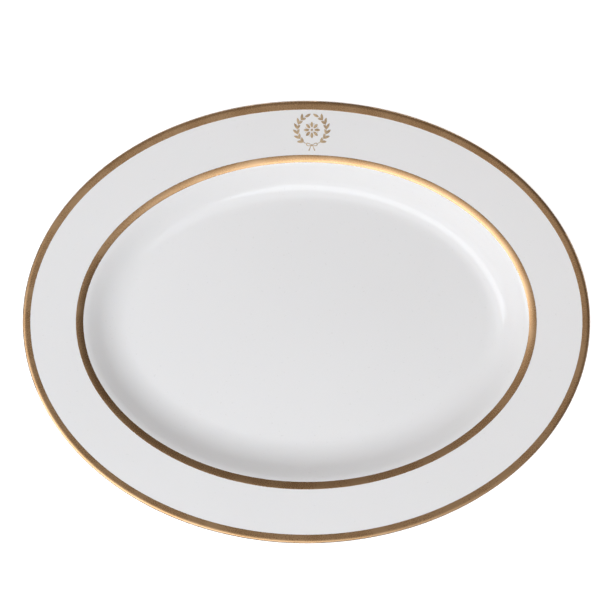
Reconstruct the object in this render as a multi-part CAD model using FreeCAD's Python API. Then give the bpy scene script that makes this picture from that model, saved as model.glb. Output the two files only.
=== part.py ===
import FreeCAD, Part

import math
import os

# An oval china serving platter, in millimetres: a broad, nearly flat rim, a sloping wall, a flat well and a
# foot ring. The biscuit (the fired clay body) is one piece with its foot. Clear glaze coats it, except where
# the foot touches the table, so the coat is two pieces: one over the face and back, one in the base recess.
# Fired on the glaze are two gold bands, a gold laurel wreath on the rim, and a gold rosette under the base.
#
# Frame: X along the platter, Y across it, Z up, origin on the table under the middle of the foot ring.
# The platter is drawn as a section of insets and heights: an inset is measured square to the oval edge of
# the biscuit, inwards, so the rim keeps the same width all the way round.

# Overall size
LENGTH = 360.0
WIDTH = 281.0

# Coats, thicker than real ones so that they stay solids with a clear inside and outside
GLAZE = 0.25
GOLD = 0.15

# Face of the biscuit
FLOOR_HEIGHT = 7.0
WELL_DEPTH = 13.5
RIM_WIDTH = 38.5
RIM_SLOPE = math.radians(7.0)
WALL_SLOPE = math.radians(40.0)
FLOOR_RADIUS = 27.0
VERGE_RADIUS = 15.0
STRAIGHT_RIM = 34.0  # inset where the rim starts to round over, and the print may end

# Lip: the rim rounds over a crest and rolls down a little before its rounded nose
CREST_INSET = 1.5
CREST_RADIUS = 7.0
ROLL_SLOPE = math.radians(15.0)
UPPER_NOSE_RADIUS = 0.7
LOWER_NOSE_RADIUS = 1.3
LIP_DEPTH = 3.4

# Back, foot ring and base
WALL_THICKNESS = 4.0
UNDER_VERGE_RADIUS = 6.0
FOOT_INSET = 52.0
FOOT_WIDTH = 3.6
FOOT_DRAFT = math.radians(12.0)
FOOT_EDGE_RADIUS = 0.8
FOOT_ROOT_RADIUS = 2.5
BASE_RECESS = 3.0
GLAZE_LINE = 0.9

# Gold bands, as insets of their edges: one wraps the lip, the other lies on the shoulder above the wall
RIM_BAND_WIDTH = 5.2
RIM_BAND_UNDER = 1.9
VERGE_BAND = (33.6, 38.2)

# Laurel wreath on the rim, drawn in plan about its own middle; angles from +X
WREATH_MIDDLE = (3.5, 121.8)
WREATH_RADIUS = 9.25
WREATH_START = math.radians(-56.0)
WREATH_END = math.radians(61.0)
LEAF_PAIRS = 6
LEAF_LENGTH = 4.3
LEAF_WIDTH = 1.7
LEAF_SPREAD = math.radians(31.0)
INNER_LEAF_SCALE = 0.82
VEIN_WIDTH = 0.22
VEIN_START = 0.3
STEM_WIDTH = 0.36

# Flower in the middle of the wreath
PETALS = 8
PETAL_ROOT = 1.45
PETAL_LENGTH = 3.9
PETAL_WIDTH = 2.0
EYE_RADIUS = 1.0

# Bow that ties the two branches
BOW_HEIGHT = -9.6
LOOP_LENGTH = 3.9
LOOP_WIDTH = 2.3
LOOP_RISE = math.radians(14.0)
RIBBON_WIDTH = 0.5
TAIL_LENGTH = 4.4
TAIL_WIDTH = 1.1
TAIL_DROP = math.radians(-58.0)
KNOT_RADIUS = 0.72

# Rosette under the base
ROSETTE_RADIUS = 7.5
ROSETTE_LINE = 0.6
ROSETTE_SCALE = 1.1

# Construction
MIDDLE_INSET = 90.0
OVAL_STATIONS = 64
REACH = 200.0
UP = FreeCAD.Vector(0, 0, 1)

HALF_LENGTH = LENGTH / 2 - GLAZE - GOLD
HALF_WIDTH = WIDTH / 2 - GLAZE - GOLD
TOUCHING = 1e-6


def vector(inset, height):
    """A point of the section plane."""
    return FreeCAD.Vector(inset, 0, height)


def flat(x, y):
    """A point of the plan, at height 0."""
    return FreeCAD.Vector(x, y, 0)


# ---- the oval, and sections swept round it ----


def periodic(points):
    """A closed smooth curve through evenly spaced points."""
    curve = Part.BSplineCurve()
    count = len(points)
    curve.interpolate(Points=points, PeriodicFlag=True, Parameters=[i / count for i in range(count + 1)])
    return curve


def oval_and_normals():
    """The biscuit's edge in plan, and its outward unit normals as a curve with the same parameter."""
    edge, normals = [], []
    for i in range(OVAL_STATIONS):
        angle = 2 * math.pi * i / OVAL_STATIONS
        across = flat(HALF_WIDTH * math.cos(angle), HALF_LENGTH * math.sin(angle))
        edge.append(flat(HALF_LENGTH * math.cos(angle), HALF_WIDTH * math.sin(angle)))
        normals.append(across.normalize())
    return periodic(edge), periodic(normals)


OVAL, NORMALS = oval_and_normals()
OVAL_POLES = OVAL.getPoles()
NORMAL_POLES = NORMALS.getPoles()


def ring_poles(inset, height):
    """The poles of the oval that lies at this inset and height."""
    return [
        edge - normal * inset + FreeCAD.Vector(0, 0, height)
        for edge, normal in zip(OVAL_POLES, NORMAL_POLES)
    ]


def swept(edge):
    """The face that a section edge sweeps round the oval."""
    profile = edge.toNurbs().Edges[0].Curve
    surface = Part.BSplineSurface()
    surface.buildFromPolesMultsKnots(
        [ring_poles(pole.x, pole.z) for pole in profile.getPoles()],
        profile.getMultiplicities(),
        OVAL.getMultiplicities(),
        profile.getKnots(),
        OVAL.getKnots(),
        False,
        True,
        profile.Degree,
        OVAL.Degree,
        [[weight] * len(OVAL_POLES) for weight in profile.getWeights()],
    )
    return surface.toShape()


def disc(inset, height):
    """The level face inside the oval at this inset and height."""
    curve = OVAL.copy()
    for i, pole in enumerate(ring_poles(inset, height), 1):
        curve.setPole(i, pole)
    return Part.Face(Part.Wire(curve.toShape()))


def level_face(ends):
    """The level face that a level section edge sweeps. One that reaches the middle is a whole disc."""
    outer, inner = sorted(ends, key=lambda point: point.x)
    if at_middle(inner):
        return disc(outer.x, outer.z)
    return disc(outer.x, outer.z).cut(disc(inner.x, inner.z)).Faces[0]


def at_middle(point):
    """Whether a section point lies on the section's inner end, in the middle of the platter."""
    return point.x > MIDDLE_INSET - TOUCHING


def oval_solid(section):
    """Sweeps a section face round the oval. Its inner end, if it has one, sweeps nothing."""
    faces = []
    for edge in section.OuterWire.Edges:
        ends = [vertex.Point for vertex in edge.Vertexes]
        if all(at_middle(point) for point in ends):
            continue
        level = edge.BoundBox.ZLength < TOUCHING
        faces.append(level_face(ends) if level else swept(edge))
    shell = Part.makeShell(faces)
    shell.sewShape()
    solid = Part.makeSolid(shell.Shells[0])
    if solid.Volume < 0:
        solid.reverse()
    return solid


# ---- sections: faces in the plane of insets (X) and heights (Z) ----


def rounded_section(corners):
    """A closed face through (inset, height, radius) corners, each rounded by a tangent arc of its radius."""
    points = [vector(x, z) for x, z, _ in corners]
    starts, ends, edges = [], [], []
    for i, (_, _, radius) in enumerate(corners):
        corner = points[i]
        back = (points[i - 1] - corner).normalize()
        ahead = (points[(i + 1) % len(points)] - corner).normalize()
        half_angle = back.getAngle(ahead) / 2
        tangent = radius / math.tan(half_angle)
        starts.append(corner + back * tangent)
        ends.append(corner + ahead * tangent)
        if radius:
            to_middle = (back + ahead).normalize() * (radius / math.sin(half_angle) - radius)
            edges.append(Part.Arc(starts[i], corner + to_middle, ends[i]).toShape())
    for i in range(len(corners)):
        edges.append(Part.makeLine(ends[i - 1], starts[i]))
    return Part.Face(Part.Wire(Part.__sortEdges__(edges)))


def window(*corners):
    """A face of the section plane with straight sides through (inset, height) corners."""
    return Part.Face(Part.makePolygon([vector(*corner) for corner in corners + corners[:1]]))


def column(low_inset, high_inset, foot):
    """A window that holds everything above a height, between two insets."""
    return window((low_inset, foot), (high_inset, foot), (high_inset, REACH), (low_inset, REACH))


def rim_top(inset):
    """The height of the rim's straight slope at an inset."""
    return FLOOR_HEIGHT + WELL_DEPTH + (RIM_WIDTH - inset) * math.tan(RIM_SLOPE)


def biscuit_corners():
    """The biscuit's corners, from the middle of the well over the rim and back under to the middle of the base."""
    verge_height = rim_top(RIM_WIDTH)
    crest_height = rim_top(CREST_INSET)
    wall_run = WELL_DEPTH / math.tan(WALL_SLOPE)
    half_turn = (WALL_SLOPE - RIM_SLOPE) / 2
    lean = (WALL_SLOPE + RIM_SLOPE) / 2
    under_inset = RIM_WIDTH - WALL_THICKNESS * math.sin(lean) / math.cos(half_turn)
    under_height = verge_height - WALL_THICKNESS * math.cos(lean) / math.cos(half_turn)
    fall = under_height - (FOOT_INSET - under_inset) * math.tan(WALL_SLOPE)
    root_height = fall / (1 - math.tan(WALL_SLOPE) * math.tan(FOOT_DRAFT))
    root_inset = FOOT_INSET - root_height * math.tan(FOOT_DRAFT)
    recess_inset = FOOT_INSET + FOOT_WIDTH + BASE_RECESS * math.tan(FOOT_DRAFT)
    return [
        (MIDDLE_INSET, FLOOR_HEIGHT, 0),
        (RIM_WIDTH + wall_run, FLOOR_HEIGHT, FLOOR_RADIUS),
        (RIM_WIDTH, verge_height, VERGE_RADIUS),
        (CREST_INSET, crest_height, CREST_RADIUS),
        (0, crest_height - CREST_INSET * math.tan(ROLL_SLOPE), UPPER_NOSE_RADIUS),
        (0, crest_height - LIP_DEPTH, LOWER_NOSE_RADIUS),
        (under_inset, under_height, UNDER_VERGE_RADIUS),
        (root_inset, root_height, FOOT_ROOT_RADIUS),
        (FOOT_INSET, 0, FOOT_EDGE_RADIUS),
        (FOOT_INSET + FOOT_WIDTH, 0, FOOT_EDGE_RADIUS),
        (recess_inset, BASE_RECESS, FOOT_ROOT_RADIUS),
        (MIDDLE_INSET, BASE_RECESS, 0),
    ]


def grown(corners, depth):
    """The corners of the same section under a coat of this depth: outer corners get blunter, inner ones tighter."""
    result = []
    for i, (inset, height, radius) in enumerate(corners):
        before, after = corners[i - 1], corners[(i + 1) % len(corners)]
        arriving = vector(inset - before[0], height - before[1]).normalize()
        leaving = vector(after[0] - inset, after[1] - height).normalize()
        outward = vector(arriving.z, -arriving.x) + vector(leaving.z, -leaving.x)
        moved = outward * (depth / (1 + arriving.dot(leaving)))
        is_outer = arriving.x * leaving.z > arriving.z * leaving.x
        blunted = radius + (depth if is_outer else -depth)
        result.append((inset + moved.x, height + moved.z, blunted if radius else 0))
    return result


def coat(inner, outer, limits):
    """What lies between two depths of coat on the biscuit, inside a window of the section plane."""
    corners = biscuit_corners()
    covered = rounded_section(grown(corners, inner))
    return rounded_section(grown(corners, outer)).cut(covered).common(limits).Faces


# ---- ornament: prisms drawn in plan, which stand on height 0 and cut their print out of a gold film ----


def prism(*edges):
    """The upright prism over a closed plan outline."""
    return Part.Face(Part.Wire(Part.__sortEdges__(list(edges)))).extrude(UP * REACH)


def placed(shape, x, y, angle=0.0):
    """A copy of a shape, turned by an angle about the origin and then moved to (x, y)."""
    copy = shape.copy()
    copy.rotate(flat(0, 0), UP, math.degrees(angle))
    copy.translate(flat(x, y))
    return copy


def on_circle(shape, radius, angle, turn):
    """A copy of a shape, turned by an angle and moved to a place on a circle about the origin."""
    return placed(shape, radius * math.cos(angle), radius * math.sin(angle), turn)


def mirrored(shape):
    """The shape mirrored from right to left."""
    return shape.mirror(flat(0, 0), FreeCAD.Vector(1, 0, 0))


def spot(radius):
    """A round prism about the origin."""
    return prism(Part.makeCircle(radius))


def almond(length, width):
    """A prism pointed at both ends, from the origin along +X."""
    base, tip = flat(0, 0), flat(length, 0)
    return prism(
        Part.Arc(base, flat(length / 2, -width / 2), tip).toShape(),
        Part.Arc(tip, flat(length / 2, width / 2), base).toShape(),
    )


def leaf(length, width):
    """An almond whose tip is split along its vein."""
    vein = Part.makeBox(length, VEIN_WIDTH, REACH, flat(length * VEIN_START, -VEIN_WIDTH / 2))
    return almond(length, width).cut(vein)


def stem(start, end):
    """A curved stem on the wreath's circle, between two angles."""
    limits = (flat(0, 0), UP, math.degrees(start), math.degrees(end))
    outer = Part.makeCircle(WREATH_RADIUS + STEM_WIDTH / 2, *limits)
    inner = Part.makeCircle(WREATH_RADIUS - STEM_WIDTH / 2, *limits)
    ends = [Part.makeLine(a.Point, b.Point) for a, b in zip(outer.Vertexes, inner.Vertexes)]
    return prism(outer, inner, *ends)


def right_branch():
    """The wreath's right branch: a stem with pairs of leaves, and a leaf over its tip."""
    step = (WREATH_END - WREATH_START) / LEAF_PAIRS
    outer_leaf = leaf(LEAF_LENGTH, LEAF_WIDTH)
    inner_leaf = leaf(LEAF_LENGTH * INNER_LEAF_SCALE, LEAF_WIDTH * INNER_LEAF_SCALE)
    strokes = [on_circle(outer_leaf, WREATH_RADIUS, WREATH_END, WREATH_END + math.pi / 2)]
    for i in range(LEAF_PAIRS):
        angle = WREATH_START + step * i
        ahead = angle + math.pi / 2
        strokes.append(on_circle(inner_leaf, WREATH_RADIUS, angle, ahead + LEAF_SPREAD))
        strokes.append(on_circle(outer_leaf, WREATH_RADIUS, angle, ahead - LEAF_SPREAD))
    return stem(WREATH_START - step / 2, WREATH_END + step / 6).fuse(strokes)


def flower(scale=1.0):
    """A rosette of petals round an eye."""
    petal = leaf(PETAL_LENGTH * scale, PETAL_WIDTH * scale)
    strokes = [spot(EYE_RADIUS * scale)]
    for i in range(PETALS):
        angle = 2 * math.pi * i / PETALS
        strokes.append(on_circle(petal, PETAL_ROOT * scale, angle, angle))
    return Part.makeCompound(strokes)


def bow():
    """The ribbon that ties the wreath: a knot, two open loops and two tails."""
    scale = 1 - 2 * RIBBON_WIDTH / LOOP_WIDTH
    opening = placed(almond(LOOP_LENGTH * scale, LOOP_WIDTH * scale), LOOP_LENGTH * (1 - scale) / 2, 0)
    loop = placed(almond(LOOP_LENGTH, LOOP_WIDTH).cut(opening), 0, 0, LOOP_RISE)
    tail = placed(leaf(TAIL_LENGTH, TAIL_WIDTH), 0, 0, TAIL_DROP)
    ribbon = spot(KNOT_RADIUS).fuse([loop, tail, mirrored(loop), mirrored(tail)])
    return placed(ribbon, 0, BOW_HEIGHT)


# ---- nodes ----


def glaze_coats():
    """The glaze over the face and back, and the glaze in the base recess."""
    limits = column(-REACH, MIDDLE_INSET, GLAZE_LINE)
    coats = [oval_solid(section) for section in coat(0, GLAZE, limits)]
    return sorted(coats, key=lambda solid: solid.Volume, reverse=True)


def gold_film(limits):
    """Gold on the glaze, inside a window of the section plane."""
    film = coat(GLAZE, GLAZE + GOLD, limits)
    return oval_solid(film[0])


def printed(film, ornament, x=0.0, y=0.0):
    """What the ornament's prisms, moved to (x, y), cut out of a gold film, one prism at a time."""
    cuts = [film.common(stroke) for stroke in placed(ornament, x, y).Solids]
    return Part.makeCompound([solid for cut in cuts for solid in cut.Solids])


def rim_band():
    """The gold band that wraps the lip and ends a little way underneath."""
    middle = rim_top(CREST_INSET) - LIP_DEPTH / 2
    around_lip = window(
        (-REACH, -REACH),
        (RIM_BAND_UNDER, -REACH),
        (RIM_BAND_UNDER, middle),
        (RIM_BAND_WIDTH, middle),
        (RIM_BAND_WIDTH, REACH),
        (-REACH, REACH),
    )
    return gold_film(around_lip)


def base_film():
    """Gold on the glaze of the base recess, wide enough for the rosette."""
    lowest = BASE_RECESS - GLAZE - GOLD
    return Part.makeCylinder(2 * ROSETTE_RADIUS, GOLD, UP * lowest)


def base_rosette():
    """A flower in a ring."""
    ring = spot(ROSETTE_RADIUS).cut(spot(ROSETTE_RADIUS - ROSETTE_LINE))
    return Part.makeCompound([ring, flower(ROSETTE_SCALE)])


def main():
    """Builds every node and writes it to parts."""
    face_glaze, base_glaze = glaze_coats()
    rim_film = gold_film(column(RIM_BAND_WIDTH, STRAIGHT_RIM, rim_top(RIM_WIDTH)))
    branch = right_branch()
    nodes = {
        "china_body": oval_solid(rounded_section(biscuit_corners())),
        "face_glaze": face_glaze,
        "base_glaze": base_glaze,
        "rim_gold_band": rim_band(),
        "verge_gold_band": gold_film(column(*VERGE_BAND, FLOOR_HEIGHT + WELL_DEPTH / 2)),
        "wreath_right_branch": printed(rim_film, branch, *WREATH_MIDDLE),
        "wreath_left_branch": printed(rim_film, mirrored(branch), *WREATH_MIDDLE),
        "wreath_flower": printed(rim_film, flower(), *WREATH_MIDDLE),
        "wreath_bow": printed(rim_film, bow(), *WREATH_MIDDLE),
        "base_rosette": printed(base_film(), base_rosette()),
    }
    os.makedirs("parts", exist_ok=True)
    for name, shape in nodes.items():
        shape.exportStep(f"parts/{name}.step")
        print(name, len(shape.Solids), shape.isValid(), round(shape.Volume, 2), shape.optimalBoundingBox())


main()
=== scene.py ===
import math

import bpy
import numpy as np
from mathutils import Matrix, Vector

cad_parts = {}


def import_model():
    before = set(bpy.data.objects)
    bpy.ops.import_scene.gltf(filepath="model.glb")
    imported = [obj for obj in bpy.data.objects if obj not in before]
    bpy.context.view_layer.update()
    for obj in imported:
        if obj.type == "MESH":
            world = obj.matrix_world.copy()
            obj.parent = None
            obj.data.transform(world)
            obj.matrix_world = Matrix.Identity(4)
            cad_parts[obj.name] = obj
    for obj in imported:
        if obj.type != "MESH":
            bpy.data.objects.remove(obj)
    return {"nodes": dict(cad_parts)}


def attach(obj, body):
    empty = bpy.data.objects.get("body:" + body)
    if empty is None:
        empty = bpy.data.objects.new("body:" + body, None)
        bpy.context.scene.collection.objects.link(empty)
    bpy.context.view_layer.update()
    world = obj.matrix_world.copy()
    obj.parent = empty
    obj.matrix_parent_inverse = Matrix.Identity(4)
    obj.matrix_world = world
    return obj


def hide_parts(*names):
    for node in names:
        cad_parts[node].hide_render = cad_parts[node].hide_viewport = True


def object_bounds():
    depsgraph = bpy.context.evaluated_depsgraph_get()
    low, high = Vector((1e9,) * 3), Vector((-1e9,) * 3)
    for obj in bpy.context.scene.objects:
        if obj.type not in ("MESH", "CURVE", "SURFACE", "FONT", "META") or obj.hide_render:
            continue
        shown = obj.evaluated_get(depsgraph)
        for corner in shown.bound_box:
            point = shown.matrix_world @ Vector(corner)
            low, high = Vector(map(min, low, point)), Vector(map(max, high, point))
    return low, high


# An oval china platter. Its glazed surfaces, gold bands and gold ornament are rebuilt here as fine meshes,
# lofted from the CAD's section with the lip's crest rounded a little tighter. Insets are measured square to
# the biscuit's oval edge, inwards, and heights from the table. Working units are millimetres; meshes are in
# metres.

MM = 0.001

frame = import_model()
cad_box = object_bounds()

# ---- sizes of the body ----

GLAZE = 0.25
LIP_COATS = 0.4  # the CAD's glaze and gold together, round the lip
HALF_LENGTH = cad_box[1].x / MM - LIP_COATS
HALF_WIDTH = cad_box[1].y / MM - LIP_COATS
FLOOR_HEIGHT = 7.0
WELL_DEPTH = 13.5
FLOOR_RADIUS = 27.0
VERGE_RADIUS = 15.0
RIM_WIDTH = 38.5
RIM_SLOPE = math.radians(7.0)
WALL_SLOPE = math.radians(40.0)
CREST_INSET = 1.2
CREST_RADIUS = 5.0
ROLL_SLOPE = math.radians(15.0)
LIP_DEPTH = 3.4
LIP_UPPER_RADIUS = 0.7
LIP_LOWER_RADIUS = 1.3
WALL_THICKNESS = 4.0
UNDER_RADIUS = 6.0
FOOT_INSET = 52.0
FOOT_WIDTH = 3.6
FOOT_DRAFT = math.radians(12.0)
FOOT_ROOT_RADIUS = 2.5
FOOT_EDGE_RADIUS = 0.8
BASE_RECESS = 3.0
GLAZE_LINE = 0.9
GLAZE_ROLL = ((0.1, 0.93), (0.0, 0.72), (0.0, 0.35), (0.06, 0.0))  # (back from the edge, share of the depth)
MIDDLE_INSET = 90.0
ROW_STEP = 2.0
STATIONS = 720

# ---- sizes of the gold ----

GOLD_BED = 0.03
GOLD_RELIEF = 0.014
GOLD_EDGE = 0.25
BAND_ROW_STEP = 0.3
BAND_WANDER = 0.05
PRINT_RELIEF = 0.09
RIM_BAND = (5.2, 1.9)  # insets of its edges on the face and on the back
VERGE_BAND = (33.6, 38.2)  # insets of its outer and inner edges
WREATH_MIDDLE = (3.5, 121.8)
WREATH_RADIUS = 9.25
WREATH_START = math.radians(-56.0)
WREATH_END = math.radians(61.0)
LEAF_PAIRS = 6
LEAF_SPREAD = math.radians(31.0)
LONG_LEAF = (4.3, 1.65)
SHORT_LEAF = (3.5, 1.35)
BOW_HEIGHT = -9.6


# ---- the section ----


def biscuit_corners():
    """(inset, height, radius) corners of the biscuit, from the well's middle over the rim to the base."""
    verge_height = FLOOR_HEIGHT + WELL_DEPTH
    crest_height = verge_height + (RIM_WIDTH - CREST_INSET) * math.tan(RIM_SLOPE)
    wall_run = WELL_DEPTH / math.tan(WALL_SLOPE)
    half_turn = (WALL_SLOPE - RIM_SLOPE) / 2
    lean = (WALL_SLOPE + RIM_SLOPE) / 2
    under_inset = RIM_WIDTH - WALL_THICKNESS * math.sin(lean) / math.cos(half_turn)
    under_height = verge_height - WALL_THICKNESS * math.cos(lean) / math.cos(half_turn)
    fall = under_height - (FOOT_INSET - under_inset) * math.tan(WALL_SLOPE)
    root_height = fall / (1 - math.tan(WALL_SLOPE) * math.tan(FOOT_DRAFT))
    root_inset = FOOT_INSET - root_height * math.tan(FOOT_DRAFT)
    recess_inset = FOOT_INSET + FOOT_WIDTH + BASE_RECESS * math.tan(FOOT_DRAFT)
    return [
        (MIDDLE_INSET, FLOOR_HEIGHT, 0),
        (RIM_WIDTH + wall_run, FLOOR_HEIGHT, FLOOR_RADIUS),
        (RIM_WIDTH, verge_height, VERGE_RADIUS),
        (CREST_INSET, crest_height, CREST_RADIUS),
        (0, crest_height - CREST_INSET * math.tan(ROLL_SLOPE), LIP_UPPER_RADIUS),
        (0, crest_height - LIP_DEPTH, LIP_LOWER_RADIUS),
        (under_inset, under_height, UNDER_RADIUS),
        (root_inset, root_height, FOOT_ROOT_RADIUS),
        (FOOT_INSET, 0, FOOT_EDGE_RADIUS),
        (FOOT_INSET + FOOT_WIDTH, 0, FOOT_EDGE_RADIUS),
        (recess_inset, BASE_RECESS, FOOT_ROOT_RADIUS),
        (MIDDLE_INSET, BASE_RECESS, 0),
    ]


class Section:
    """The biscuit's outline as a smooth curve: points and outward normals by length along it."""

    def __init__(self):
        self.points, self.normals = self.sample(biscuit_corners())
        steps = np.linalg.norm(np.diff(self.points, axis=0), axis=1)
        self.lengths = np.concatenate([[0], np.cumsum(steps)])

    @staticmethod
    def sample(corners):
        """Points along the rounded outline, with their normals."""
        points, normals = [], []
        for before, (x, z, radius), after in zip(corners, corners[1:], corners[2:]):
            here = np.array([x, z])
            arriving = here - before[:2]
            leaving = after[:2] - here
            arriving /= np.linalg.norm(arriving)
            leaving /= np.linalg.norm(leaving)
            turn = math.atan2(arriving[0] * leaving[1] - arriving[1] * leaving[0], arriving @ leaving)
            start = here - arriving * radius * math.tan(abs(turn) / 2)
            count = math.ceil(max(abs(turn) * radius / 0.8, abs(turn) / math.radians(5)))
            side = math.copysign(1, turn)
            centre = start + side * radius * np.array([-arriving[1], arriving[0]])
            for i in range(count + 1):
                a = turn * i / count
                way = np.array([
                    arriving[0] * math.cos(a) - arriving[1] * math.sin(a),
                    arriving[0] * math.sin(a) + arriving[1] * math.cos(a),
                ])
                normal = np.array([way[1], -way[0]])
                points.append(centre + side * radius * normal)
                normals.append(normal)
        first, last = np.array(corners[0][:2], float), np.array(corners[-1][:2], float)
        points = [first] + points + [last]
        normals = [np.array([0.0, 1.0])] + normals + [np.array([0.0, -1.0])]
        return np.array(points), np.array(normals)

    def at(self, length, depth):
        """(inset, height) at lengths along the biscuit, at a depth of coat on it."""
        found = [np.interp(length, self.lengths, column) for column in (*self.points.T, *self.normals.T)]
        return found[0] + found[2] * depth, found[1] + found[3] * depth

    def on_face(self, inset):
        """Length along the biscuit where its face lies at an inset."""
        nose = int(np.argmin(self.points[:, 0])) + 1
        return float(np.interp(-inset, -self.points[:nose, 0], self.lengths[:nose]))

    def on_back(self, inset):
        """Length along the biscuit where its back lies at an inset."""
        nose, foot = int(np.argmin(self.points[:, 0])), int(np.argmin(self.points[:, 1]))
        return float(np.interp(inset, self.points[nose:foot, 0], self.lengths[nose:foot]))

    def on_foot(self, height, inside):
        """Length along the biscuit where the foot's outer or inner side is at a height."""
        foot = int(np.argmin(self.points[:, 1]))
        part = slice(foot + 1, None) if inside else slice(foot, 0, -1)
        return float(np.interp(height, self.points[part, 1], self.lengths[part]))


SECTION = Section()


def spaced(start, end, step):
    """Lengths along the section between two places: all of its own arc points, and long runs divided."""
    own = [s for s in SECTION.lengths if start < s < end]
    stops = [start, *own, end]
    result = [start]
    for a, b in zip(stops, stops[1:]):
        if b - a < 1e-6:
            continue
        parts = max(1, math.ceil((b - a) / step))
        result += [a + (b - a) * i / parts for i in range(1, parts + 1)]
    return np.array(result)


# ---- the oval ----

ANGLES = np.arange(STATIONS) * 2 * math.pi / STATIONS
EDGE = np.stack([HALF_LENGTH * np.cos(ANGLES), HALF_WIDTH * np.sin(ANGLES)], 1)
OUTWARD = np.stack([HALF_WIDTH * np.cos(ANGLES), HALF_LENGTH * np.sin(ANGLES)], 1)
OUTWARD /= np.linalg.norm(OUTWARD, axis=1)[:, None]
AROUND = np.concatenate([[0], np.cumsum(np.linalg.norm(np.diff(EDGE, axis=0), axis=1))])


def ring(inset, height):
    """Points right round the oval at an inset and height, each a number or one per station."""
    plan = EDGE - OUTWARD * np.broadcast_to(inset, STATIONS)[:, None]
    return np.column_stack([plan, np.broadcast_to(height, STATIONS)])


def mesh_object(name, points, faces, material):
    """A new smooth object from points in millimetres and faces."""
    mesh = bpy.data.meshes.new(name)
    mesh.from_pydata((np.asarray(points) * MM).tolist(), [], faces)
    mesh.polygons.foreach_set("use_smooth", [True] * len(mesh.polygons))
    mesh.materials.append(material)
    mesh.update()
    made = bpy.data.objects.new(name, mesh)
    bpy.context.scene.collection.objects.link(made)
    return made


def stitched(rows, closed):
    """Faces between rings of STATIONS points, the last joined to the first if closed."""
    faces = []
    pairs = rows if closed else rows - 1
    for r in range(pairs):
        a, b = r * STATIONS, (r + 1) % rows * STATIONS
        for i in range(STATIONS):
            j = (i + 1) % STATIONS
            faces.append((a + i, b + i, b + j, a + j))
    return faces


def add_band_uv(made, across):
    """UVs in metres: along the band by station, and across it by row."""
    layer = made.data.uv_layers.new(name="band")
    across = np.asarray(across) * MM
    total = AROUND[-1] * MM
    for polygon in made.data.polygons:
        indices = [made.data.loops[k].vertex_index for k in polygon.loop_indices]
        along = [AROUND[v % STATIONS] * MM for v in indices]
        wraps = max(along) - min(along) > total / 2
        for k, v, u in zip(polygon.loop_indices, indices, along):
            u = u + total if wraps and u < total / 2 else u
            layer.data[k].uv = (u, across[v // STATIONS])


def place(made, slot, *nodes):
    """Rides the object on the platter and hides the CAD nodes that it stands for. slot, the name of its
    finish, is not used.
    """
    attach(made, "root")
    if nodes:
        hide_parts(*nodes)
    return made


# ---- materials ----


class Nodes:
    """Short calls for building one material's node tree."""

    def __init__(self, name):
        self.material = bpy.data.materials.new(name)
        self.material.use_nodes = True
        self.tree = self.material.node_tree
        self.shader = self.tree.nodes["Principled BSDF"]

    def add(self, kind, **settings):
        """A node with its properties and inputs set; an input may be a number, a colour or a socket."""
        made = self.tree.nodes.new(kind)
        for key, value in settings.items():
            if key.startswith("in_"):
                self.put(made.inputs[int(key[3:])], value)
            else:
                setattr(made, key, value)
        return made

    def put(self, socket, value):
        """Links a socket into an input, or sets its value."""
        if isinstance(value, bpy.types.NodeSocket):
            self.tree.links.new(value, socket)
        else:
            socket.default_value = value

    def set(self, **inputs):
        """Sets the shader's inputs by name, with _ for a space."""
        for key, value in inputs.items():
            self.put(self.shader.inputs[key.replace("_", " ")], value)

    def noise(self, where, scale, detail=2.0, roughness=0.5):
        """Noise from 0 to 1 at a place."""
        made = self.add("ShaderNodeTexNoise")
        self.put(made.inputs["Vector"], where)
        made.inputs["Scale"].default_value = scale
        made.inputs["Detail"].default_value = detail
        made.inputs["Roughness"].default_value = roughness
        return made.outputs["Fac"]

    def ramp(self, value, low, high, to_low, to_high):
        """A value mapped from one range to another, and held at its ends."""
        made = self.add("ShaderNodeMapRange", clamp=True)
        for socket, number in zip(made.inputs[:5], (value, low, high, to_low, to_high)):
            self.put(socket, number)
        return made.outputs[0]

    def mix(self, factor, a, b):
        """Two colours mixed by a factor."""
        made = self.add("ShaderNodeMix", data_type="RGBA")
        self.put(made.inputs[0], factor)
        self.put(made.inputs[6], a)
        self.put(made.inputs[7], b)
        return made.outputs[2]

    def math(self, operation, a, b=0.0):
        """One arithmetic step."""
        made = self.add("ShaderNodeMath", operation=operation)
        self.put(made.inputs[0], a)
        self.put(made.inputs[1], b)
        return made.outputs[0]

    def bump(self, height, distance, under=None):
        """A bump of a height field, in metres, over another."""
        made = self.add("ShaderNodeBump")
        made.inputs["Strength"].default_value = 1.0
        made.inputs["Distance"].default_value = distance
        self.put(made.inputs["Height"], height)
        if under is not None:
            self.put(made.inputs["Normal"], under)
        return made.outputs["Normal"]

    def object_place(self):
        """The surface's place in the object's own frame."""
        return self.add("ShaderNodeTexCoord").outputs["Object"]

    def scaled(self, vector, x, y, z):
        """A vector stretched along its axes."""
        made = self.add("ShaderNodeMapping")
        self.put(made.inputs[0], vector)
        made.inputs["Scale"].default_value = (x, y, z)
        return made.outputs[0]


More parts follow.
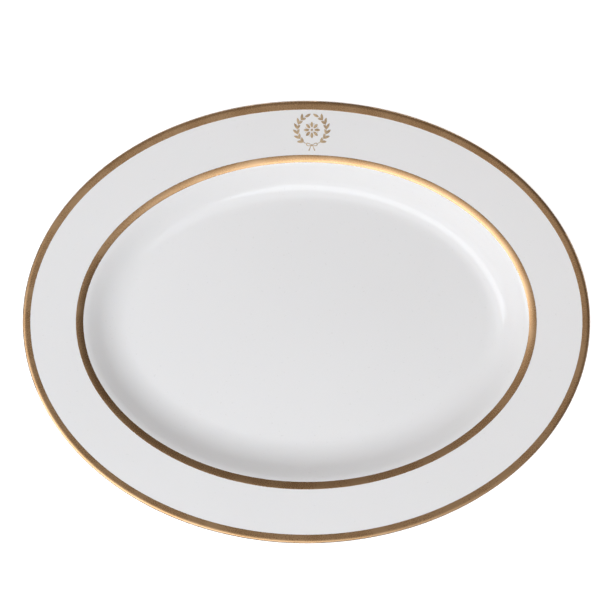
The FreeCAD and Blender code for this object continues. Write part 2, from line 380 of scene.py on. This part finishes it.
def glaze_material():
    """White china under clear glaze: nearly even, with the slow swell and fine peel of a fired coat."""
    n = Nodes("china_glaze")
    where = n.object_place()
    cloud = n.noise(where, 9.0, 3.0)
    white = n.mix(n.ramp(cloud, 0.3, 0.7, 0.0, 1.0), (0.925, 0.912, 0.911, 1), (0.94, 0.927, 0.926, 1))
    speck = n.ramp(n.noise(where, 900.0, 0.0), 0.80, 0.84, 0.0, 0.25)
    n.set(Base_Color=n.mix(speck, white, (0.72, 0.71, 0.69, 1)))
    n.set(Roughness=n.ramp(n.noise(where, 160.0, 3.0), 0.3, 0.7, 0.03, 0.06))
    swell = n.bump(n.noise(where, 28.0, 1.0), 0.00005)
    peel = n.bump(n.noise(where, 420.0, 2.0), 0.0000018, swell)
    n.set(Normal=peel, IOR=1.52, Specular_IOR_Level=0.35, Subsurface_Weight=0.06, Subsurface_Scale=0.002)
    n.set(Subsurface_Radius=(1.0, 0.85, 0.7))
    return n.material


def biscuit_material():
    """Bare fired clay at the foot's edge: matte and finely grained, rubbed darker where it touches."""
    n = Nodes("china_biscuit")
    where = n.object_place()
    grain = n.noise(where, 2600.0, 4.0, 0.65)
    patch = n.noise(where, 60.0, 3.0)
    base = n.mix(n.ramp(grain, 0.35, 0.7, 0.0, 1.0), (0.70, 0.66, 0.60, 1), (0.80, 0.77, 0.72, 1))
    n.set(Base_Color=n.mix(n.ramp(patch, 0.55, 0.75, 0.0, 0.35), base, (0.52, 0.48, 0.42, 1)))
    n.set(Roughness=n.ramp(grain, 0.3, 0.7, 0.7, 0.9), Normal=n.bump(grain, 0.00006))
    return n.material


def band_gold_material():
    """Burnished gold laid by hand on a turning platter: fine lines along the band, and faint thin patches."""
    n = Nodes("band_gold")
    uv = n.add("ShaderNodeUVMap", uv_map="band").outputs[0]
    lines = n.noise(n.scaled(uv, 30.0, 9000.0, 1.0), 1.0, 3.0, 0.6)
    where = n.object_place()
    patch = n.noise(where, 55.0, 3.0)
    fine = n.noise(where, 1400.0, 2.0)
    deep, pale = (0.41, 0.24, 0.117, 1), (0.49, 0.313, 0.174, 1)
    tone = n.math("ADD", n.math("MULTIPLY", patch, 0.6), n.math("MULTIPLY", lines, 0.4))
    n.set(Base_Color=n.mix(n.ramp(tone, 0.35, 0.65, 0.0, 1.0), deep, pale), Metallic=1.0)
    rough = n.math("ADD", n.ramp(patch, 0.3, 0.7, 0.24, 0.28), n.ramp(fine, 0.3, 0.7, 0.0, 0.04))
    n.set(Roughness=rough)
    n.set(Normal=n.bump(fine, 0.000002, n.bump(lines, 0.0000025)))
    return n.material


def print_gold_material():
    """Matte printed gold: slightly granular, thinner in places."""
    n = Nodes("print_gold")
    where = n.object_place()
    grain = n.noise(where, 3200.0, 2.0, 0.6)
    patch = n.noise(where, 300.0, 2.0)
    deep, pale = (0.42, 0.29, 0.17, 1), (0.60, 0.45, 0.29, 1)
    n.set(Base_Color=n.mix(n.ramp(patch, 0.35, 0.65, 0.0, 1.0), deep, pale), Metallic=0.75)
    n.set(Roughness=n.ramp(grain, 0.3, 0.7, 0.36, 0.52), Normal=n.bump(grain, 0.000008))
    return n.material


GLAZE_LOOK = glaze_material()
BISCUIT_LOOK = biscuit_material()
BAND_LOOK = band_gold_material()
PRINT_LOOK = print_gold_material()


# ---- the glaze ----


def smooth_step(x):
    """0 to 1 with a soft start and end."""
    x = np.clip(x, 0, 1)
    return x * x * (3 - 2 * x)


def towards_middle(outermost, count=14):
    """Rings that close a level floor: its last offset ring shrunk step by step towards the middle."""
    return [outermost * [1 - i / count, 1 - i / count, 1] for i in range(1, count)]


def glazed_disc(name, rows, node):
    """A glazed object of rings about the middle, the first of them closed by a fan."""
    points = np.concatenate(rows + [[[0, 0, rows[0][0][2]]]])
    fan = [(len(points) - 1, i, (i + 1) % STATIONS) for i in range(STATIONS)]
    return place(mesh_object(name, points, stitched(len(rows), False) + fan, GLAZE_LOOK), "glaze", node)


def face_glaze():
    """The glaze over the face, round the lip and down the back, with a soft rolled edge above the foot."""
    end = SECTION.on_foot(GLAZE_LINE, inside=False)
    outer = [ring(*SECTION.at(s, GLAZE)) for s in spaced(0, end - GLAZE, ROW_STEP)]
    edge = [ring(*SECTION.at(end - back, GLAZE * depth)) for back, depth in GLAZE_ROLL]
    glazed_disc("face_glaze_coat", towards_middle(outer[0])[::-1] + outer + edge, "face_glaze")


def base_glaze():
    """The glaze in the base recess, from just above the foot's bearing edge to the middle."""
    start = SECTION.on_foot(GLAZE_LINE, inside=True)
    outer = [ring(*SECTION.at(s, GLAZE)) for s in spaced(start + GLAZE, SECTION.lengths[-1], ROW_STEP)]
    edge = [ring(*SECTION.at(start + back, GLAZE * depth)) for back, depth in GLAZE_ROLL[::-1]]
    rows = edge + outer + towards_middle(outer[-1])
    glazed_disc("base_glaze_coat", rows[::-1], "base_glaze")


# ---- the gold bands ----


def unsteady(seed, reach):
    """A slow wander of a hand-laid edge, in millimetres, one number per station."""
    made = np.zeros(STATIONS)
    rng = np.random.default_rng(seed)
    for waves in (3, 5, 8, 13, 21, 34):
        made += np.sin(ANGLES * waves + rng.uniform(0, 2 * math.pi)) * rng.uniform(0.4, 1.0) / waves**0.35
    return made * reach / np.abs(made).max()


def gold_band(name, first, last, node, seed, sways):
    """A gold film on the glaze between two lengths along the section, with soft edges that wander a little.

    sways are how far each edge moves outwards at the platter's two ends, and inwards at its sides.
    """
    low = first + sways[0] * np.cos(2 * ANGLES) + unsteady(seed, BAND_WANDER)
    high = last + sways[1] * np.cos(2 * ANGLES) + unsteady(seed + 1, BAND_WANDER)
    width = last - first
    near_edge = (0, 0.06, 0.14, GOLD_EDGE)
    between = np.arange(2 * GOLD_EDGE, width - BAND_ROW_STEP, BAND_ROW_STEP)
    across = np.array(sorted({*near_edge, *between, *(width - a for a in near_edge)}))
    from_edge = np.minimum(across, width - across)
    relief = GOLD_RELIEF * smooth_step(from_edge / GOLD_EDGE)
    top = [ring(*SECTION.at(low + (high - low) * a / width, GLAZE + r)) for a, r in zip(across, relief)]
    under = [ring(*SECTION.at(low + (high - low) * a / width, GLAZE - GOLD_BED)) for a in across[::-1]]
    made = mesh_object(name, np.concatenate(top + under), stitched(2 * len(across), True), BAND_LOOK)
    add_band_uv(made, [*across, *across[::-1]])
    place(made, "band_gold", node)


# ---- the printed ornament: strokes drawn in plan, in millimetres, then laid on a surface ----


def rim_inset(x, y):
    """How far points of the plan lie inside the biscuit's edge."""
    t = np.arctan2(y / HALF_WIDTH, x / HALF_LENGTH)
    for _ in range(8):
        edge = np.stack([HALF_LENGTH * np.cos(t), HALF_WIDTH * np.sin(t)])
        slope = np.stack([-HALF_LENGTH * np.sin(t), HALF_WIDTH * np.cos(t)])
        away = np.stack([x, y]) - edge
        t = t + (away * slope).sum(0) / ((slope**2).sum(0) + (away * edge).sum(0))
    return np.linalg.norm(away, axis=0)


def on_rim(plan, lift):
    """Plan points, drawn about the wreath's middle, on the rim's glaze and lifted off it."""
    x, y = (plan + WREATH_MIDDLE).T
    height = FLOOR_HEIGHT + WELL_DEPTH + (RIM_WIDTH - rim_inset(x, y)) * math.tan(RIM_SLOPE)
    return np.column_stack([x, y, height + GLAZE / math.cos(RIM_SLOPE) + lift])


def on_base(plan, lift):
    """Plan points on the glaze of the base recess, lifted off it downwards."""
    return np.column_stack([plan, BASE_RECESS - GLAZE - lift])


def turned(points, angle):
    """Points turned about the origin."""
    c, s = math.cos(angle), math.sin(angle)
    return points @ np.array([[c, s], [-s, c]])


def on_circle(radius, angle):
    """The place at an angle on a circle about the origin."""
    return np.array([radius * math.cos(angle), radius * math.sin(angle)])


class Strokes:
    """Brush strokes of raised gold that make up one printed piece."""

    COLUMNS = 9

    def __init__(self, surface, relief):
        self.surface, self.relief = surface, relief
        self.points, self.faces = [], []

    def add(self, centre, width, vein=None):
        """A stroke along a centreline, with a half width and the depth of a vein at each of its points."""
        centre = np.asarray(centre, float)
        along = np.gradient(centre, axis=0)
        along /= np.linalg.norm(along, axis=1)[:, None]
        side = np.column_stack([-along[:, 1], along[:, 0]])
        v = np.sin(np.linspace(-math.pi / 2, math.pi / 2, self.COLUMNS))
        plan = centre[:, None] + side[:, None] * v[None, :, None] * np.asarray(width)[:, None, None]
        dome = np.sqrt(np.clip(1 - v**2, 0, 1))[None] * np.ones((len(centre), 1))
        if vein is not None:
            dome = dome * (1 - np.asarray(vein)[:, None] * np.exp(-((v[None] / 0.22) ** 2)))
        rows, columns = dome.shape
        top = self.surface(plan.reshape(-1, 2), (dome * self.relief).ravel())
        under = self.surface(plan.reshape(-1, 2), np.full(rows * columns, -GOLD_BED))
        start = sum(len(p) for p in self.points)
        self.points += [top, under]
        self.faces += self.closed_grid(rows, columns, start)

    @staticmethod
    def closed_grid(rows, columns, start):
        """Faces of a top grid and an under grid, joined round their edges."""
        low = start + rows * columns
        faces = []
        for r in range(rows - 1):
            for c in range(columns - 1):
                a, b = start + r * columns + c, start + (r + 1) * columns + c
                faces.append((a, b, b + 1, a + 1))
                a, b = a - start + low, b - start + low
                faces.append((a, a + 1, b + 1, b))
        loop = [(0, c) for c in range(columns)] + [(r, columns - 1) for r in range(1, rows)]
        loop += [(rows - 1, c) for c in range(columns - 2, -1, -1)] + [(r, 0) for r in range(rows - 2, 0, -1)]
        ids = [r * columns + c for r, c in loop]
        for a, b in zip(ids, ids[1:] + ids[:1]):
            faces.append((start + a, start + b, low + b, low + a))
        return faces

    def leaf(self, root, angle, length, width, bend=0.0):
        """A pointed leaf with a vein, which may bend to one side."""
        u = (1 - np.cos(np.linspace(0, math.pi, 19))) / 2
        radius = (length**2 + width**2) / (4 * width)
        half = np.sqrt(radius**2 - ((u - 0.5) * length) ** 2) - (radius - width / 2)
        line = np.column_stack([u * length, bend * length * np.sin(math.pi * u)])
        vein = 0.85 * smooth_step((u - 0.12) / 0.2)
        self.add(turned(line, angle) + root, np.maximum(half, 0.02), vein)

    def dot(self, centre, radius):
        """A round bead."""
        u = np.cos(np.linspace(math.pi, 0, 13))
        line = np.column_stack([u * radius * 0.999, 0 * u])
        self.add(line + centre, np.maximum(radius * np.sqrt(np.clip(1 - u**2, 0, 1)), 0.015))

    def curve(self, points, widths):
        """A tapered stroke through a smooth curve's points."""
        self.add(points, np.maximum(widths, 0.02))

    def build(self, name, node, flip=False):
        """The object made of the strokes, turned right side out by flip where they were mirrored."""
        faces = [f[::-1] for f in self.faces] if flip else self.faces
        return place(mesh_object(name, np.concatenate(self.points), faces, PRINT_LOOK), "print_gold", node)


def branch(name, side, node):
    """One laurel branch: a stem with pairs of leaves, and berries. side is 1 on the right, -1 on the left."""
    strokes = Strokes(lambda plan, lift: on_rim(plan * [side, 1], lift), PRINT_RELIEF)
    step = (WREATH_END - WREATH_START) / LEAF_PAIRS
    t = np.linspace(WREATH_START - step / 2, WREATH_END + step / 6, 60)
    stem = WREATH_RADIUS * np.column_stack([np.cos(t), np.sin(t)])
    strokes.curve(stem, np.linspace(0.2, 0.11, 60))
    strokes.leaf(on_circle(WREATH_RADIUS, WREATH_END), WREATH_END + math.pi / 2, *LONG_LEAF, 0.03)
    for i in range(LEAF_PAIRS):
        angle = WREATH_START + step * i
        root, ahead = on_circle(WREATH_RADIUS, angle), angle + math.pi / 2
        strokes.leaf(root, ahead + LEAF_SPREAD, *SHORT_LEAF, -0.05)
        strokes.leaf(root, ahead - LEAF_SPREAD, *LONG_LEAF, 0.05)
        strokes.dot(on_circle(WREATH_RADIUS - 1.1, angle + step * 0.93), 0.3)
    strokes.build(name, node, flip=side < 0)


def flower(strokes, scale=1.0):
    """Eight petals round a beaded eye, with a small bead between each two."""
    strokes.dot(np.zeros(2), 0.62 * scale)
    for i in range(8):
        angle = math.pi * i / 4
        strokes.dot(on_circle(0.95 * scale, angle + math.pi / 8), 0.17 * scale)
        strokes.leaf(on_circle(1.45 * scale, angle), angle, 3.8 * scale, 1.85 * scale)
        strokes.dot(on_circle(4.1 * scale, angle + math.pi / 8), 0.24 * scale)


def bow(name, node):
    """The ribbon: two loops, two forked tails and a knot."""
    strokes = Strokes(lambda plan, lift: on_rim(plan + [0, BOW_HEIGHT], lift), PRINT_RELIEF)
    t = np.linspace(0.0, 1.0, 48)
    for side in (1, -1):
        loop = np.column_stack([3.5 * np.sin(math.pi * t), 0.95 * np.sin(2 * math.pi * t) * (0.6 + 0.4 * t)])
        loop = turned(loop, math.radians(14)) * [side, 1]
        strokes.curve(loop, 0.13 + 0.17 * np.sin(math.pi * t))
        tail = np.column_stack([2.1 * t + 0.12 * np.sin(4 * t), -3.3 * t + 0.35 * np.sin(2 * math.pi * t)])
        strokes.curve(tail * [side, 1], 0.14 + 0.24 * t)
    strokes.dot(np.zeros(2), 0.6)
    strokes.build(name, node)


def base_rosette():
    """The rosette under the base: a ring round a flower."""
    strokes = Strokes(on_base, PRINT_RELIEF)
    t = np.linspace(0, 2 * math.pi, 181)
    strokes.curve(7.2 * np.column_stack([np.cos(t), np.sin(t)]), np.full(181, 0.26))
    flower(strokes, 1.1)
    strokes.build("base_rosette_print", "base_rosette", flip=True)


face_glaze()
base_glaze()
rim_band = SECTION.on_face(RIM_BAND[0]), SECTION.on_back(RIM_BAND[1])
gold_band("rim_band", *rim_band, "rim_gold_band", 11, (0.35, 0))
verge_band = SECTION.on_face(VERGE_BAND[1]), SECTION.on_face(VERGE_BAND[0])
gold_band("verge_band", *verge_band, "verge_gold_band", 23, (0.3, 0.3))
branch("wreath_right", 1, "wreath_right_branch")
branch("wreath_left", -1, "wreath_left_branch")
wreath_flower = Strokes(on_rim, PRINT_RELIEF)
flower(wreath_flower)
wreath_flower.build("wreath_centre", "wreath_flower")
bow("wreath_ribbon", "wreath_bow")
base_rosette()
for slot in frame["nodes"]["china_body"].material_slots:
    slot.material = BISCUIT_LOOK

# ---- camera ----

VIEW_CENTRE = (-3.99 * MM, 14.05 * MM)
VIEW_HEIGHT = 1.40
SEEN_WIDTH = 379.7 * MM

camera = bpy.data.objects.new("camera", bpy.data.cameras.new("camera"))
bpy.context.scene.collection.objects.link(camera)
camera.location = (*VIEW_CENTRE, cad_box[1].z + VIEW_HEIGHT)
camera.data.lens = camera.data.sensor_width * VIEW_HEIGHT / SEEN_WIDTH
bpy.context.scene.camera = camera

# ---- floor, world and lights ----

FLOOR_REACH = 12000


def floor():
    """A plain white table."""
    n = Nodes("floor_white")
    n.set(Base_Color=(0.9, 0.9, 0.9, 1), Roughness=0.9, Emission_Color=(1, 1, 1, 1), Emission_Strength=0.6)
    n.set(Specular_IOR_Level=0.0)
    corners = [(FLOOR_REACH * x, FLOOR_REACH * y, 0) for x, y in ((-1, -1), (1, -1), (1, 1), (-1, 1))]
    mesh_object("floor", corners, [(0, 1, 2, 3)], n.material)


def direction(azimuth, elevation):
    """A unit vector from angles in degrees."""
    a, e = math.radians(azimuth), math.radians(elevation)
    return (math.cos(a) * math.cos(e), math.sin(a) * math.cos(e), math.sin(e))


def world():
    """Dim surroundings, which each of ROOM_PATCHES lightens or darkens about one direction."""
    made = bpy.data.worlds.new("room")
    bpy.context.scene.world = made
    made.use_nodes = True
    tree = made.node_tree
    where = tree.nodes.new("ShaderNodeTexCoord").outputs["Generated"]

    def step(operation, a, b):
        """One arithmetic step on two sockets or numbers."""
        node = tree.nodes.new("ShaderNodeMath")
        node.operation = operation
        for socket, value in zip(node.inputs, (a, b)):
            if isinstance(value, bpy.types.NodeSocket):
                tree.links.new(value, socket)
            else:
                socket.default_value = value
        return node.outputs[0]

    def patch(towards, start, end, power, level):
        """Light that grows from nothing to its level as the cosine to a direction goes from start to end."""
        dot = tree.nodes.new("ShaderNodeVectorMath")
        dot.operation = "DOT_PRODUCT"
        tree.links.new(where, dot.inputs[0])
        dot.inputs[1].default_value = towards
        grow = tree.nodes.new("ShaderNodeMapRange")
        tree.links.new(dot.outputs["Value"], grow.inputs[0])
        grow.inputs[1].default_value = start
        grow.inputs[2].default_value = end
        return step("MULTIPLY", step("POWER", grow.outputs[0], power), level)

    level = ROOM_LEVEL
    for settings in ROOM_PATCHES:
        level = step("ADD", patch(*settings), level)
    tree.links.new(step("MAXIMUM", level, 0.02), tree.nodes["Background"].inputs["Strength"])
    tree.nodes["Background"].inputs["Color"].default_value = ROOM_COLOUR


def softbox(name, azimuth, elevation, distance, width, height, radiance):
    """An area light facing the platter, with its radiance in display units."""
    data = bpy.data.lights.new(name, "AREA")
    data.shape = "RECTANGLE"
    data.color = DAYLIGHT
    data.size, data.size_y = width, height
    data.energy = radiance * math.pi * width * height
    made = bpy.data.objects.new(name, data)
    bpy.context.scene.collection.objects.link(made)
    way = Vector(direction(azimuth, elevation))
    made.location = way * distance
    made.rotation_mode = "QUATERNION"
    made.rotation_quaternion = way.to_track_quat("Z", "Y")


DAYLIGHT = (0.93, 1.0, 1.06)
ROOM_COLOUR = (1.05, 0.99, 0.95, 1)
ROOM_LEVEL = 0.168
ROOM_PATCHES = (
    (direction(0, -90), -0.67, -0.34, 1.0, 0.12),  # pale near the horizon
    (direction(225, 45), 0.2, 1.0, 2.0, 0.55),  # a wide glow round the softboxes
    (direction(0, 90), 0.8, 1.0, 1.0, -0.16),  # dark overhead, where the camera is
    (direction(130, 62), 0.6, 0.95, 1.0, 0.14),  # a faint glow across from the softboxes
)
floor()
world()
softbox("key", 232.0, 57.0, 1.0, 1.2, 0.28, 2.9)
softbox("panel", 239.0, 57.0, 1.0, 1.2, 0.9, 1.09)

bpy.context.scene.view_settings.view_transform = "Standard"
bpy.context.scene.view_settings.look = "None"
